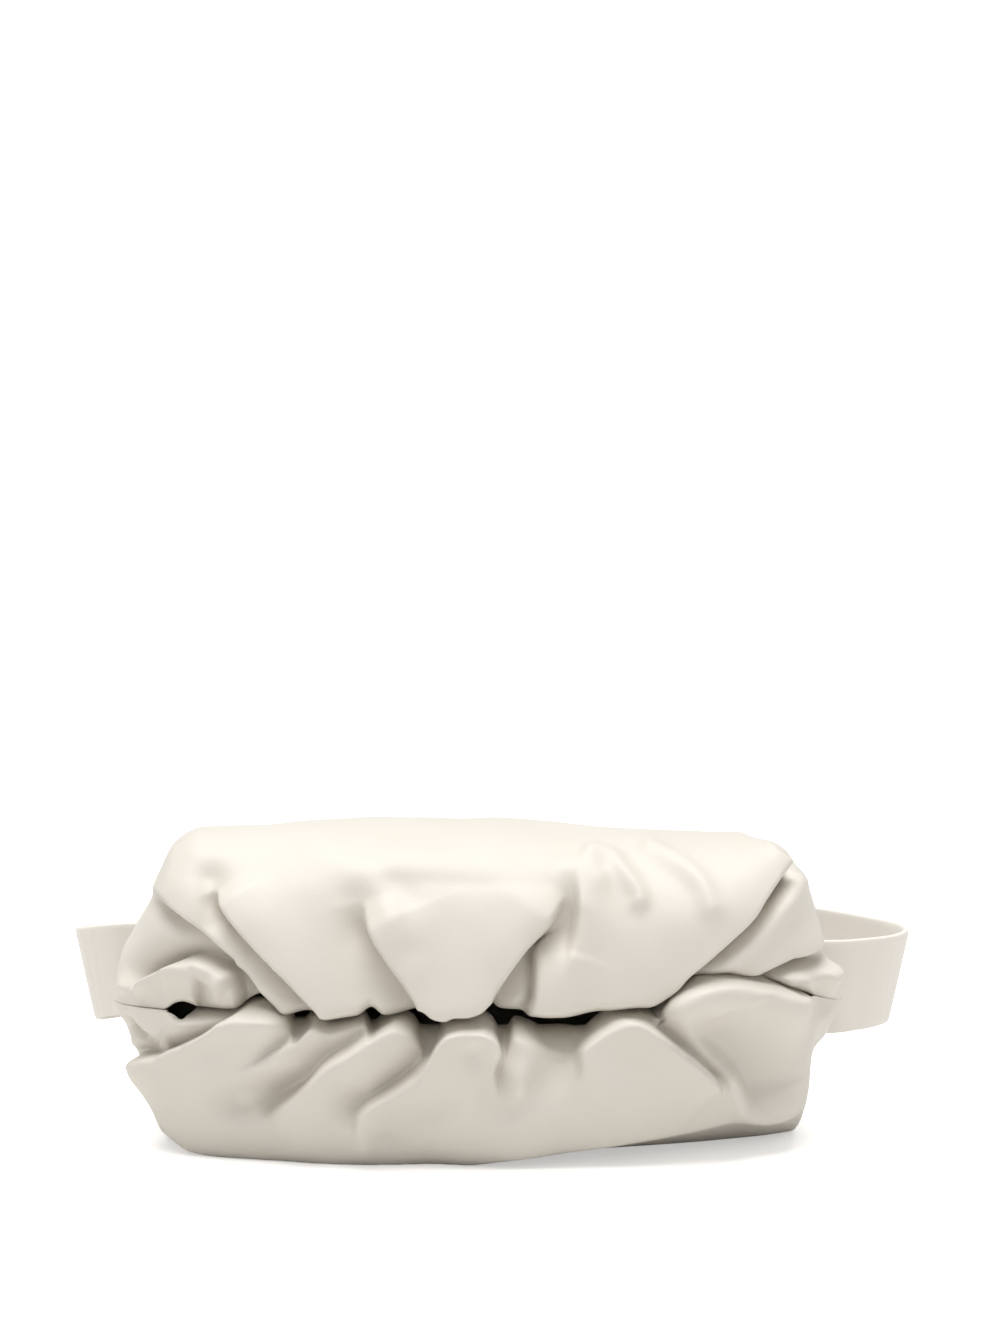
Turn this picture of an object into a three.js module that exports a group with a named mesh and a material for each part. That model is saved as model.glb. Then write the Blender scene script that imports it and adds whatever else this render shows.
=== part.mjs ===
// Belt bag: a soft leather pouch gathered into a wide front mouth, and a leather belt that loops behind it.
// Millimetres, +Z up. X runs across the front, left to right, and Y from the mouth towards the back.
// The origin is the middle of the whole bag's box, on the surface that it rests on.

import * as THREE from "three";

// Pouch
const HALF_WIDTH = 157.5;
const MIDDLE_Y = 42; // the end tips' distance behind the pouch frame's zero line
const BACK_DEPTH = 60; // from the middle to the back
const LEATHER = 2.4; // wall, measured square to the smooth form
const SEAM_GAP = 0.3;
const SEAM_HEIGHT = 62; // side tips and back seam
const MOUTH_FROM = -134; // where the left side seam ends and the mouth begins
const MOUTH_TO = 146;
const MOUTH_EASE = 16; // length over which a corner opens
const LIP_TURN = 1.2; // radians that a lip rolls inwards, past its most forward line
const LIP_ROUND = 3.2; // section of a rolled lip: 2 is an ellipse, more is squarer
const PLAN_FRONT_POWER = 2; // plan outlines: 2 is an ellipse, more is squarer
const PLAN_BACK_POWER = 3;

// Belt
const BELT_WIDTH = 42;
const BELT_THICKNESS = 3;
const BELT_STEPS = 52;
const SEWN_FROM = 64; // the belt lies on the pouch's back between these distances from its centre
const SEWN_TO = 110;
const SEWN_STATIONS = 4;

// Clasp sleeve behind the bag
const CLASP_LENGTH = 34;
const CLASP_WALL = 2.2;
const CLASP_Y = 206;
const BELT_END_GAP = 6; // between the two belt ends inside the sleeve

// Facets
const COLUMNS = 57;
const ROWS = 24;
const FOLD_HUG = 2.2; // distance of the two columns that hug a fold from its line
const FOLD_EDGE = 4; // half width of the facets' slope from a raised sheet to a sunk one
const PATH_SAMPLES = 24;
const SECTION_SAMPLES = 240;
const SECTION_BUNCH = 2.2; // bunches those samples at the most forward line, where a section turns fastest
const BESIDE = 0.5; // distance and turn of the points that give the form's slope
const BESIDE_TURN = 0.02;
const BACK_ROWS = 0.45; // share of the front's rows that the back gets for its length

// Where one thing gives way to another, as [from, to] in turns round the pouch
const LIP_REACH_ENDS = [-0.5, 0.45];
const NOTCH_ENDS = [-0.15, 0.4];
const MOUTH_ENDS = [0.6, 1.5];
const LEVEL_ENDS = [0.9, 2.2]; // the mouth line's height eases into the back seam's
const BACK_ROWS_START = [0.9, 2];
const RIM_FOLDS = 0.15; // share of a fold's height that is left at the rolled rim
const RIM_FOLDS_END = [-0.9, 0];
const SEAM_FOLDS_START = [0, 0.4]; // where the lips are close together, beside the side seams
const FREE_SLOT = 5; // slot at which the lips are far enough apart to fold freely

// Where one thing gives way to another, in other measures
const TIP_FOLDS_END = [HALF_WIDTH - 14, HALF_WIDTH - 2]; // distances from the middle
const FOLD_FADE = [0.65, 1]; // shares of a fold's length over which it dies away
const LIFT_ENDS = [-12, 35]; // y over which the lifted underside comes down to the surface

// Front view: folds are placed by x and by the height at which a viewer this far above level sees them
const VIEW_TILT = THREE.MathUtils.degToRad(12);
const VIEW_FOOT = -10; // y of the point of the base that shows at height 0

// Outlines across the bag, as [x, z]
const TOP_LINE = [
  [-157.5, 62], [-154, 81], [-149, 92], [-144, 102], [-138, 116], [-130, 130], [-118, 136], [-77, 137],
  [-38, 140], [0, 139.5], [53, 136], [105, 132], [127, 130], [134, 126], [140, 116], [146, 102], [151, 82],
  [157.5, 62],
];
const BASE_LINE = [
  [-157.5, 62], [-154.5, 48], [-150, 34], [-144, 15], [-138, 0], [-124, -10], [0, -10], [118, -10], [136, -2],
  [141, 7], [143.5, 24], [145.5, 40], [151, 46], [157.5, 62],
];
const MOUTH_LINE = [
  [-157.5, 62], [-132, 62], [-100, 62.5], [-75, 61], [-58, 59], [0, 58.5], [54, 58.5], [72, 62], [95, 72],
  [114, 74], [133, 67], [145, 62], [157.5, 62],
];

// Across the bag, as [x, height]: the open slot between the lips, and how far the front underside is lifted
const SLOT_LINE = [
  [-157.5, 0.3], [-134, 0.3], [-126, 2.5], [-114, 7], [-100, 6.5], [-80, 5], [60, 5], [78, 3.5],
  [110, 3], [136, 3], [146, 0.3], [157.5, 0.3],
];
const LIFT_LINE = [
  [-157.5, 0], [15, 0], [35, 3], [52, 6], [80, 8], [105, 10], [121, 9], [134, 9], [157.5, 9],
];

// Where the gathers run: x at the lip, x that a column leans towards, and x at the panel's far edge.
// A fold row is hugged by two columns of facets.
const UPPER_FAN = [
  { lip: -157.5, lean: -157.5, far: -157.5 },
  { lip: -130, lean: -146, far: -153 },
  { lip: -74, lean: -124, far: -149, fold: true },
  { lip: -58, lean: -108, far: -118, fold: true },
  { lip: -20, lean: -45, far: -53, fold: true },
  { lip: 3, lean: 22, far: 49, fold: true },
  { lip: 26, lean: 34, far: 62, fold: true },
  { lip: 66, lean: 118, far: 137, fold: true },
  { lip: 118, lean: 146, far: 151 },
  { lip: 157.5, lean: 157.5, far: 157.5 },
];
const LOWER_FAN = [
  { lip: -157.5, lean: -157.5, far: -157.5 },
  { lip: -126, lean: -143, far: -150 },
  { lip: -70, lean: -122, far: -135, fold: true },
  { lip: -42, lean: -69, far: -100, fold: true },
  { lip: -13, lean: -32, far: -55, fold: true },
  { lip: 10, lean: 6, far: 10, fold: true },
  { lip: 42, lean: 41, far: 36, fold: true },
  { lip: 72, lean: 119, far: 125, fold: true },
  { lip: 118, lean: 136, far: 140 },
  { lip: 157.5, lean: 157.5, far: 157.5 },
];

// Folds: the sheet on the over side (1 is the right hand, going along the path) ends in a raised edge
// `step` high that dies away over `soft`, and the sheet under it sinks by `dip` over `spread`.
const UPPER_FOLDS = [
  {
    name: "left_flap", over: 1, step: 5, soft: 22, dip: 6, spread: 13,
    path: [[-71, 58], [-89, 73], [-112, 90], [-142, 113]],
  },
  {
    name: "left_tuck", over: 1, step: 4, soft: 14, dip: 4, spread: 9,
    path: [[-54, 55], [-83, 81], [-100, 97], [-112, 115]],
  },
  {
    name: "centre_left", over: 1, step: 5, soft: 20, dip: 5, spread: 11,
    path: [[-17, 54], [-34, 81], [-42, 97], [-49, 114]],
  },
  {
    name: "centre_right", over: -1, step: 5, soft: 20, dip: 6, spread: 12,
    path: [[0, 54], [14, 79], [29, 102], [49, 125]],
  },
  {
    name: "right_inner", over: 1, step: 3.5, soft: 14, dip: 3, spread: 8,
    path: [[25, 54], [28, 77], [30, 94], [36, 107]],
  },
  {
    name: "right_flap", over: -1, step: 5, soft: 26, dip: 7, spread: 14,
    path: [[62, 57], [86, 78], [107, 92], [127, 108], [139, 131]],
  },
  {
    name: "right_tuck", over: -1, step: 3.5, soft: 10, dip: 4, spread: 9,
    path: [[84, 75], [118, 82], [136, 89], [155, 97]],
  },
  {
    name: "left_hood", over: 1, step: 3.5, soft: 9, dip: 4, spread: 8,
    path: [[-159, 70], [-146, 84], [-128, 90], [-113, 87], [-101, 75]],
  },
];
const LOWER_FOLDS = [
  {
    name: "left_corner", over: 1, step: 4.5, soft: 13, dip: 4, spread: 9,
    path: [[-92, 68], [-108, 60], [-132, 48], [-152, 47]],
  },
  {
    name: "left_pleat", over: -1, step: 3.5, soft: 12, dip: 4, spread: 9,
    path: [[-66, 68], [-77, 52], [-97, 42], [-115, 35]],
  },
  {
    name: "mid_left_pleat", over: -1, step: 5.5, soft: 16, dip: 6, spread: 10,
    path: [[-36, 64], [-65, 40], [-84, 23], [-94, 16]],
  },
  {
    name: "centre_pleat", over: -1, step: 5.5, soft: 14, dip: 6.5, spread: 10,
    path: [[-10, 69], [-18, 47], [-34, 34], [-48, 24]],
  },
  {
    name: "centre_edge", over: 1, step: 4.5, soft: 12, dip: 5, spread: 9,
    path: [[8, 69], [13, 49], [6, 38], [9, 23]],
  },
  {
    name: "right_slot", over: -1, step: 5, soft: 18, dip: 5.5, spread: 11,
    path: [[39, 69], [45, 50], [41, 36], [31, 26]],
  },
  {
    name: "right_pleat", over: 1, step: 4, soft: 20, dip: 7.5, spread: 11,
    path: [[65, 70], [92, 50], [107, 39], [122, 30]],
  },
];

// Soft ridges (raised) and dents (sunk), as a rounded swelling `width` wide along a path
const UPPER_SWELLS = [
  { name: "brow", raise: 1.5, width: 9, path: [[-33, 127], [10, 128], [48, 128]] },
  { name: "left_brow", raise: 2, width: 8, path: [[-67, 134], [-50, 122], [-30, 100]] },
  { name: "left_dent", raise: -3, width: 7, path: [[-114, 122], [-113, 113], [-111, 107]] },
  { name: "right_dent", raise: -3, width: 6, path: [[34, 81], [41, 99], [43, 122]] },
  { name: "right_brow", raise: 2, width: 8, path: [[76, 134], [92, 121], [100, 107]] },
  { name: "mid_brow", raise: 1.5, width: 7, path: [[56, 134], [64, 122], [68, 111]] },
];
const LOWER_SWELLS = [
  { name: "left_hollow", raise: -2.5, width: 8, path: [[-89, 31], [-95, 26], [-102, 24]] },
  { name: "right_ridge", raise: 4, width: 9, path: [[92, 70], [107, 53], [125, 21]] },
];

// Notches where a lip draws back between two gathers
const UPPER_NOTCHES = [
  { x: -43, depth: 5, width: 7 },
  { x: 14, depth: 6, width: 9 },
];
const LOWER_NOTCHES = [
  { x: -75, depth: 5, width: 5 },
  { x: -46, depth: 3, width: 5 },
  { x: -19, depth: 9, width: 5.5 },
  { x: 13, depth: 6, width: 5 },
  { x: 38, depth: 9, width: 10 },
];

// The two panels. Turns are angles round the pouch from its most forward line (0), over the far edge, to the
// back seam (pi); a lip has negative ones. `reach` and `lipReach` are distances forward of the middle.
const UPPER_PANEL = {
  side: 1, farLine: TOP_LINE, fan: UPPER_FAN,
  folds: UPPER_FOLDS, swells: UPPER_SWELLS, notches: UPPER_NOTCHES,
  lipRise: 18, reach: 64, lipReach: 64, round: 2.6, foldsEnd: [1.8, 2.6],
  fanShare: [[-1.2, 0], [-0.5, 0.08], [0, 0.22], [0.3, 0.59], [0.6, 0.8], [0.9, 0.97], [1.2, 1]],
};
const LOWER_PANEL = {
  side: -1, farLine: BASE_LINE, fan: LOWER_FAN,
  folds: LOWER_FOLDS, swells: LOWER_SWELLS, notches: LOWER_NOTCHES,
  lipRise: 15, reach: 66, lipReach: 57, round: 4.2, foldsEnd: [1.1, 1.6],
  fanShare: [[-1.2, 0], [-0.5, 0.12], [0, 0.36], [0.3, 0.85], [0.6, 1], [0.9, 1]],
};

// Belt rows: the middle line in plan, its height, and how far the top edge leans out over the foot
const BELT_LEFT_ROWS = [
  { x: -150, y: 94, mid: 64, lean: 0 },
  { x: -164, y: 96, mid: 62, lean: 5 },
  { x: -174, y: 104, mid: 58, lean: 9 },
  { x: -173, y: 115, mid: 57, lean: 9 },
  { x: -159, y: 127, mid: 57, lean: 4 },
  { x: -128, y: 149, mid: 57, lean: 0 },
  { x: -94, y: 177, mid: 57, lean: 0 },
  { x: -62, y: 198, mid: 57, lean: 0 },
];
const BELT_RIGHT_ROWS = [
  { x: 151, y: 88, mid: 57, lean: 0 },
  { x: 174, y: 91, mid: 57, lean: 6 },
  { x: 187, y: 99, mid: 57, lean: 10 },
  { x: 188, y: 112, mid: 57, lean: 10 },
  { x: 174, y: 133, mid: 57, lean: 4 },
  { x: 151, y: 165, mid: 57, lean: 0 },
  { x: 116, y: 190, mid: 57, lean: 0 },
  { x: 72, y: 203, mid: 57, lean: 0 },
];

const LEATHER_FINISH = { color: 0xe6e1d5, roughness: 0.5, metalness: 0 };

function smoothstep(from, to, value) {
  const t = Math.min(1, Math.max(0, (value - from) / (to - from)));
  return t * t * (3 - 2 * t);
}

// Cubic through [x, value] points that never swings past them
function curveThrough(points) {
  const slopes = points.slice(1).map(([x, v], i) => (v - points[i][1]) / (x - points[i][0]));
  const tangents = points.map((_, i) => {
    const before = slopes[i - 1] ?? slopes[i];
    const after = slopes[i] ?? slopes[i - 1];
    return before * after <= 0 ? 0 : (2 * before * after) / (before + after);
  });
  return (x) => {
    const next = points.findIndex((point) => point[0] > x);
    const i = next < 0 ? points.length - 2 : Math.max(0, next - 1);
    const span = points[i + 1][0] - points[i][0];
    const t = Math.min(1, Math.max(0, (x - points[i][0]) / span));
    const rise = t * t * (3 - 2 * t);
    const start = points[i][1] + rise * (points[i + 1][1] - points[i][1]);
    return start + span * (t * (1 - t) * (1 - t) * tangents[i] - t * t * (1 - t) * tangents[i + 1]);
  };
}

// 0 before a range given as [from, to] and 1 after it
function ease([from, to], value) {
  return smoothstep(from, to, value);
}

const mouthHeight = curveThrough(MOUTH_LINE);
const slotHeight = curveThrough(SLOT_LINE);
const liftHeight = curveThrough(LIFT_LINE);

// 1 along the mouth, 0 along the side seams
function mouthOpen(x) {
  const left = smoothstep(MOUTH_FROM, MOUTH_FROM + MOUTH_EASE, x);
  return left * (1 - smoothstep(MOUTH_TO - MOUTH_EASE, MOUTH_TO, x));
}

// Share of the full depth at x: a superellipse in plan
function planShare(x, power) {
  return Math.pow(Math.max(0, 1 - Math.pow(Math.abs(x) / HALF_WIDTH, power)), 1 / power);
}

function backOfPouch(x) {
  return MIDDLE_Y + BACK_DEPTH * planShare(x, PLAN_BACK_POWER);
}

// Lowest place of the underside: the surface, and above it where the front is lifted
function undersideHeight(x, y) {
  return liftHeight(x) * (1 - ease(LIFT_ENDS, y));
}

// Point of a panel's smooth form: three superellipse quarters, lip, front and back
function smoothPoint(panel, x, turn) {
  const open = mouthOpen(x);
  const power = 2 / (turn < 0 ? LIP_ROUND : panel.round);
  const along = Math.pow(Math.abs(Math.cos(turn)), power);
  const across = Math.pow(Math.abs(Math.sin(turn)), power);
  const level = THREE.MathUtils.lerp(mouthHeight(x), SEAM_HEIGHT, ease(LEVEL_ENDS, turn));
  const gap = THREE.MathUtils.lerp(slotHeight(x), SEAM_GAP, ease(MOUTH_ENDS, turn)) / 2;
  const full = Math.max(gap, panel.side * (panel.farHeight(x) - level));
  const rise = Math.min(panel.lipRise * open, full / 2) * (1 - ease(MOUTH_ENDS, turn));
  const lip = open * (1 - ease(LIP_REACH_ENDS, turn));
  const reach = THREE.MathUtils.lerp(panel.reach, panel.lipReach, lip) * planShare(x, PLAN_FRONT_POWER);
  const depth = turn < Math.PI / 2 ? -reach : BACK_DEPTH * planShare(x, PLAN_BACK_POWER);
  const drawn = panel.notches.reduce((sum, { x: at, depth: deep, width }) => (
    sum + deep * Math.exp(-(((x - at) / width) ** 2))
  ), 0);
  const notch = drawn * open * (1 - ease(NOTCH_ENDS, turn));
  const out = turn < 0 ? gap + rise * (1 - across) : gap + rise + (full - gap - rise) * across;
  return new THREE.Vector3(x, MIDDLE_Y + depth * along, level + panel.side * (out + notch));
}

// Nearest place on a path: its share of the length, and the signed distance, positive on the right hand
function placeOnPath(samples, x, h) {
  let best = { along: 0, off: Infinity };
  for (let i = 0; i + 1 < samples.length; i += 1) {
    const dx = samples[i + 1].x - samples[i].x;
    const dh = samples[i + 1].y - samples[i].y;
    const onto = ((x - samples[i].x) * dx + (h - samples[i].y) * dh) / (dx * dx + dh * dh);
    const t = Math.min(1, Math.max(0, onto));
    const ex = x - samples[i].x - t * dx;
    const eh = h - samples[i].y - t * dh;
    const off = Math.hypot(ex, eh);
    if (off < Math.abs(best.off)) {
      best = { along: (i + t) / (samples.length - 1), off: ex * dh - eh * dx >= 0 ? off : -off };
    }
  }
  return best;
}

function pathSamples(path) {
  return new THREE.SplineCurve(path.map(([x, h]) => new THREE.Vector2(x, h))).getPoints(PATH_SAMPLES);
}

// Height that the folds and swells add at a point of the front view
function gatherHeight(panel, x, h) {
  let height = 0;
  for (const fold of panel.folds) {
    const place = placeOnPath(fold.samples, x, h);
    const off = place.off * fold.over;
    const raised = fold.step * Math.exp(-((off / fold.soft) ** 2));
    const sunk = -fold.dip * Math.exp(-((off / fold.spread) ** 2));
    const share = smoothstep(-FOLD_EDGE, FOLD_EDGE, off);
    height += THREE.MathUtils.lerp(sunk, raised, share) * (1 - ease(FOLD_FADE, place.along));
  }
  for (const swell of panel.swells) {
    const place = placeOnPath(swell.samples, x, h);
    height += swell.raise * Math.exp(-((place.off / swell.width) ** 2));
  }
  return height;
}

function viewHeight(point) {
  return point.z * Math.cos(VIEW_TILT) + (point.y - VIEW_FOOT) * Math.sin(VIEW_TILT);
}

// Stations of the columns: the tips, two beside each fold, and the widest gaps split until there are enough
function columnStations(fan) {
  const stations = [-HALF_WIDTH, HALF_WIDTH];
  for (const row of fan.filter(({ fold }) => fold)) {
    const middle = (row.lip + row.far) / 2;
    stations.push(middle - FOLD_HUG, middle + FOLD_HUG);
  }
  while (stations.length < COLUMNS) {
    stations.sort((a, b) => a - b);
    const gaps = stations.slice(1).map((station, i) => station - stations[i]);
    const widest = gaps.indexOf(Math.max(...gaps));
    stations.push(stations[widest] + gaps[widest] / 2);
  }
  return stations.sort((a, b) => a - b);
}

// Smooth point of one column at one turn: the column leans with the fan as it leaves the lip
function fanPoint(panel, station, turn) {
  const t = panel.fanTurn(turn);
  const lip = panel.lipX(station) * (1 - t) * (1 - t);
  const lean = panel.leanX(station) * 2 * t * (1 - t);
  const far = panel.farX(station) * t * t;
  return smoothPoint(panel, lip + lean + far, turn);
}

// Turns of a column's rows: evenly spaced along its section, and further apart round the back
function rowTurns(panel, station) {
  const rim = -LIP_TURN * mouthOpen(panel.lipX(station));
  const turns = Array.from({ length: SECTION_SAMPLES + 1 }, (_, k) => {
    const s = (2 * k) / SECTION_SAMPLES - 1;
    return Math.pow(Math.abs(s), SECTION_BUNCH) * (s < 0 ? rim : Math.PI);
  });
  const points = turns.map((turn) => fanPoint(panel, station, turn));
  const lengths = [0];
  for (let k = 1; k < points.length; k += 1) {
    const weight = THREE.MathUtils.lerp(1, BACK_ROWS, ease(BACK_ROWS_START, turns[k]));
    lengths.push(lengths[k - 1] + weight * points[k].distanceTo(points[k - 1]));
  }
  const total = lengths[SECTION_SAMPLES];
  return Array.from({ length: ROWS }, (_, j) => {
    const target = Math.min(total, (total * j) / (ROWS - 1));
    const k = Math.max(1, lengths.findIndex((length) => length >= target));
    const span = lengths[k] - lengths[k - 1];
    return THREE.MathUtils.lerp(turns[k - 1], turns[k], span > 0 ? (target - lengths[k - 1]) / span : 1);
  });
}

// A panel with its tables turned into curves and traced paths
function prepared(panel) {
  const fanCurve = (key) => curveThrough(panel.fan.map((row) => [(row.lip + row.far) / 2, row[key]]));
  const traced = (rows) => rows.map((row) => ({ ...row, samples: pathSamples(row.path) }));
  return {
    ...panel,
    lipX: fanCurve("lip"),
    leanX: fanCurve("lean"),
    farX: fanCurve("far"),
    fanTurn: curveThrough(panel.fanShare),
    farHeight: curveThrough(panel.farLine),
    folds: traced(panel.folds),
    swells: traced(panel.swells),
  };
}

// Grid of a panel's outer and inner points: columns from left tip to right tip, rows from lip to back seam
function panelGrids(panel) {
  const stations = columnStations(panel.fan);
  const turns = stations.map((station) => rowTurns(panel, station));
  const smooth = stations.map((station, i) => turns[i].map((turn) => fanPoint(panel, station, turn)));
  const outer = [];
  const inner = [];
  for (let i = 0; i < COLUMNS; i += 1) {
    outer.push([]);
    inner.push([]);
    for (let j = 0; j < ROWS; j += 1) {
      const point = smooth[i][j];
      const normal = smoothNormal(panel, point.x, turns[i][j]);
      const shown = 1 - ease(panel.foldsEnd, turns[i][j]);
      const rolled = THREE.MathUtils.lerp(RIM_FOLDS, 1, ease(RIM_FOLDS_END, turns[i][j]));
      const ends = 1 - ease(TIP_FOLDS_END, Math.abs(point.x));
      const free = Math.min(1, slotHeight(point.x) / FREE_SLOT);
      const clear = THREE.MathUtils.lerp(ease(SEAM_FOLDS_START, turns[i][j]), 1, free);
      const height = gatherHeight(panel, point.x, viewHeight(point)) * shown * rolled * ends * clear;
      const skin = point.clone().addScaledVector(normal, height);
      const back = skin.clone().addScaledVector(normal, -LEATHER);
      const under = undersideHeight(point.x, point.y);
      skin.z = Math.max(under, skin.z);
      back.z = Math.max(under + LEATHER, back.z);
      outer[i].push(skin);
      inner[i].push(back);
    }
  }
  return { outer, inner };
}

// Square to the smooth form, from points close beside it; the end tips point straight out
function smoothNormal(panel, x, turn) {
  if (Math.abs(x) > HALF_WIDTH - BESIDE) {
    return new THREE.Vector3(Math.sign(x), 0, 0);
  }
  const across = smoothPoint(panel, x + BESIDE, turn).sub(smoothPoint(panel, x - BESIDE, turn));
  const up = smoothPoint(panel, x, turn + BESIDE_TURN).sub(smoothPoint(panel, x, turn - BESIDE_TURN));
  return across.cross(up).normalize().multiplyScalar(panel.side);
}

// Collects triangles into one closed, indexed geometry; corners at the same place share a vertex
class MeshMaker {
  constructor() {
    this.positions = [];
    this.triangles = [];
    this.known = new Map();
  }

  vertex(point) {
    const key = point.toArray().map((value) => value.toFixed(3)).join(" ");
    if (!this.known.has(key)) {
      this.known.set(key, this.known.size);
      this.positions.push(...point.toArray());
    }
    return this.known.get(key);
  }

  // Split along its shorter diagonal, which runs along a fold and not across it
  quad(a, b, c, d, flipped = false) {
    const points = flipped ? [d, c, b, a] : [a, b, c, d];
    const [p, q, r, s] = points.map((point) => this.vertex(point));
    if (points[0].distanceTo(points[2]) <= points[1].distanceTo(points[3])) {
      this.triangle(p, q, r);
      this.triangle(p, r, s);
    } else {
      this.triangle(p, q, s);
      this.triangle(q, r, s);
    }
  }

  triangle(a, b, c) {
    if (a !== b && b !== c && c !== a) {
      this.triangles.push(a, b, c);
    }
  }

  geometry() {
    const geometry = new THREE.BufferGeometry();
    geometry.setAttribute("position", new THREE.Float32BufferAttribute(this.positions, 3));
    geometry.setIndex(this.triangles);
    geometry.computeVertexNormals();
    return geometry;
  }
}

// Leather shell of one panel: outer skin, inner side, and the edges at the lip and at the back seam
function panelGeometry(panel) {
  const { outer, inner } = panelGrids(prepared(panel));
  const maker = new MeshMaker();
  const flipped = panel.side < 0;
  for (let i = 0; i + 1 < COLUMNS; i += 1) {
    for (let j = 0; j + 1 < ROWS; j += 1) {
      maker.quad(outer[i][j], outer[i + 1][j], outer[i + 1][j + 1], outer[i][j + 1], flipped);
      maker.quad(inner[i][j], inner[i][j + 1], inner[i + 1][j + 1], inner[i + 1][j], flipped);
    }
    const last = ROWS - 1;
    maker.quad(inner[i][0], inner[i + 1][0], outer[i + 1][0], outer[i][0], flipped);
    maker.quad(outer[i][last], outer[i + 1][last], inner[i + 1][last], inner[i][last], flipped);
  }
  return maker.geometry();
}

// One half of the belt: a flat band swept along its rows, from the sewn end to its end in the clasp
function beltGeometry(side, rows) {
  const lie = 2 * SEAM_GAP + BELT_THICKNESS / 2;
  const sewn = Array.from({ length: SEWN_STATIONS }, (_, i) => {
    const x = THREE.MathUtils.lerp(SEWN_FROM, SEWN_TO, i / (SEWN_STATIONS - 1));
    return { x: side * x, y: backOfPouch(x) + lie, mid: rows[0].mid, lean: 0 };
  });
  const mid = rows[rows.length - 1].mid;
  const inClasp = [CLASP_LENGTH, CLASP_LENGTH / 2, BELT_END_GAP / 2];
  const held = inClasp.map((x) => ({ x: side * x, y: CLASP_Y, mid, lean: 0 }));
  const route = [...sewn, ...rows, ...held];
  const edge = (share) => new THREE.CatmullRomCurve3(route.map((row, i) => {
    const before = route[Math.max(0, i - 1)];
    const after = route[Math.min(route.length - 1, i + 1)];
    const out = new THREE.Vector3(after.y - before.y, before.x - after.x, 0).normalize().multiplyScalar(side);
    const height = row.mid + share * BELT_WIDTH / 2;
    return new THREE.Vector3(row.x, row.y, height).addScaledVector(out, share * row.lean / 2);
  }));
  const top = edge(1).getPoints(BELT_STEPS);
  const foot = edge(-1).getPoints(BELT_STEPS);
  const sections = top.map((high, i) => {
    const low = foot[i];
    const ahead = top[Math.min(BELT_STEPS, i + 1)].clone().sub(top[Math.max(0, i - 1)]);
    const half = ahead.cross(high.clone().sub(low)).normalize().multiplyScalar(BELT_THICKNESS / 2);
    return [low.clone().sub(half), high.clone().sub(half), high.clone().add(half), low.clone().add(half)];
  });
  const maker = new MeshMaker();
  for (let i = 0; i < BELT_STEPS; i += 1) {
    for (let k = 0; k < 4; k += 1) {
      const next = (k + 1) % 4;
      maker.quad(sections[i][k], sections[i][next], sections[i + 1][next], sections[i + 1][k]);
    }
  }
  maker.quad(...sections[0].slice().reverse());
  maker.quad(...sections[BELT_STEPS]);
  return maker.geometry();
}

// Plain sleeve round the two belt ends
function claspGeometry() {
  const clearWidth = BELT_WIDTH + 2 * SEAM_GAP;
  const clearDepth = BELT_THICKNESS + 2 * SEAM_GAP;
  const outline = rectangle(new THREE.Shape(), clearDepth + 2 * CLASP_WALL, clearWidth + 2 * CLASP_WALL);
  outline.holes.push(rectangle(new THREE.Path(), clearDepth, clearWidth));
  const sleeve = new THREE.ExtrudeGeometry(outline, { depth: CLASP_LENGTH, bevelEnabled: false });
  return sleeve.translate(0, 0, -CLASP_LENGTH / 2).rotateX(Math.PI / 2).rotateZ(Math.PI / 2);
}

function rectangle(path, width, height) {
  path.moveTo(-width / 2, -height / 2);
  path.lineTo(width / 2, -height / 2);
  path.lineTo(width / 2, height / 2);
  path.lineTo(-width / 2, height / 2);
  path.closePath();
  return path;
}

function piece(name, geometry, finish) {
  const mesh = new THREE.Mesh(geometry, new THREE.MeshStandardMaterial(finish));
  mesh.name = name;
  return mesh;
}

const bag = new THREE.Group();
bag.add(piece("upper_panel", panelGeometry(UPPER_PANEL), LEATHER_FINISH));
bag.add(piece("lower_panel", panelGeometry(LOWER_PANEL), LEATHER_FINISH));
bag.add(piece("belt_left", beltGeometry(-1, BELT_LEFT_ROWS), LEATHER_FINISH));
bag.add(piece("belt_right", beltGeometry(1, BELT_RIGHT_ROWS), LEATHER_FINISH));

const clasp = piece("belt_clasp", claspGeometry(), LEATHER_FINISH);
clasp.position.set(0, CLASP_Y, BELT_RIGHT_ROWS[BELT_RIGHT_ROWS.length - 1].mid);
bag.add(clasp);

// The bag stands on z = 0 with the middle of its box over the origin
const box = new THREE.Box3().setFromObject(bag);
const middle = box.getCenter(new THREE.Vector3());
bag.position.set(-middle.x, -middle.y, -box.min.z);

export default bag;
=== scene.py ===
"""Belt bag in soft off-white leather: a gathered pouch on its base, and the belt that loops behind it.

The shapes are grids worked out with numpy in millimetres in the pouch's own frame, and each is put into its
mesh in metres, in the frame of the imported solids.
"""

import logging
import math
from collections.abc import Sequence
from dataclasses import dataclass
from enum import Enum

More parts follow.
